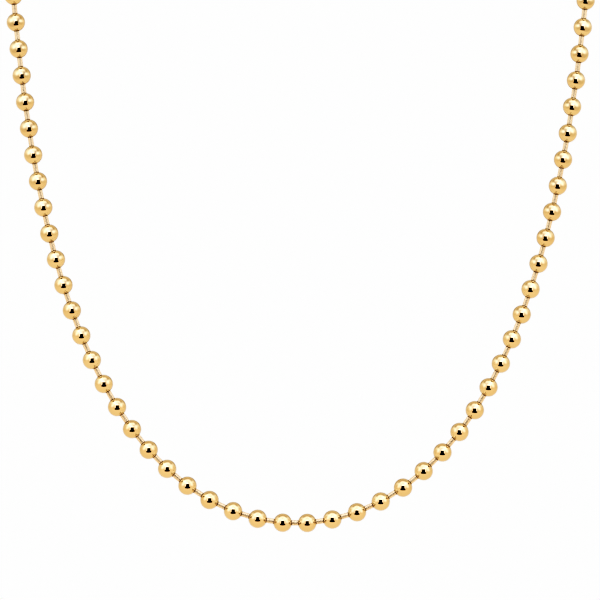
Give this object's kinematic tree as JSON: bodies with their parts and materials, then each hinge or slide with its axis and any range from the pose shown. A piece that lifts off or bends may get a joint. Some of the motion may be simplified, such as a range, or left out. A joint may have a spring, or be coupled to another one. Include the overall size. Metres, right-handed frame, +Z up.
{
  "type": "ball chain necklace",
  "caption": "Gold-coloured ball chain necklace: hollow round balls strung on dumbbell rods in one loop, shown as worn, with a plain coupling at the nape.",
  "frame": {"origin": "middle of the coupling at the nape, where the chain lies on the back of the neck", "axes": "+Z up, +Y to the wearer's back, +X to the viewer's right as seen from the front; the lowest rod hangs in front at -Y and -Z"},
  "size_m": [0.1302, 0.0976, 0.1529],
  "materials": {
    "ball_gold": "polished gold plate, with fine polishing marks and darker gold at the holes",
    "rod_gold": "bright drawn gold-plated wire",
    "coupling_gold": "satin gold plate over folded sheet"
  },
  "bodies": {
    "root": {"balls": "ball_gold", "rods": "rod_gold", "coupling": "coupling_gold"}
  },
  "joints": []
}
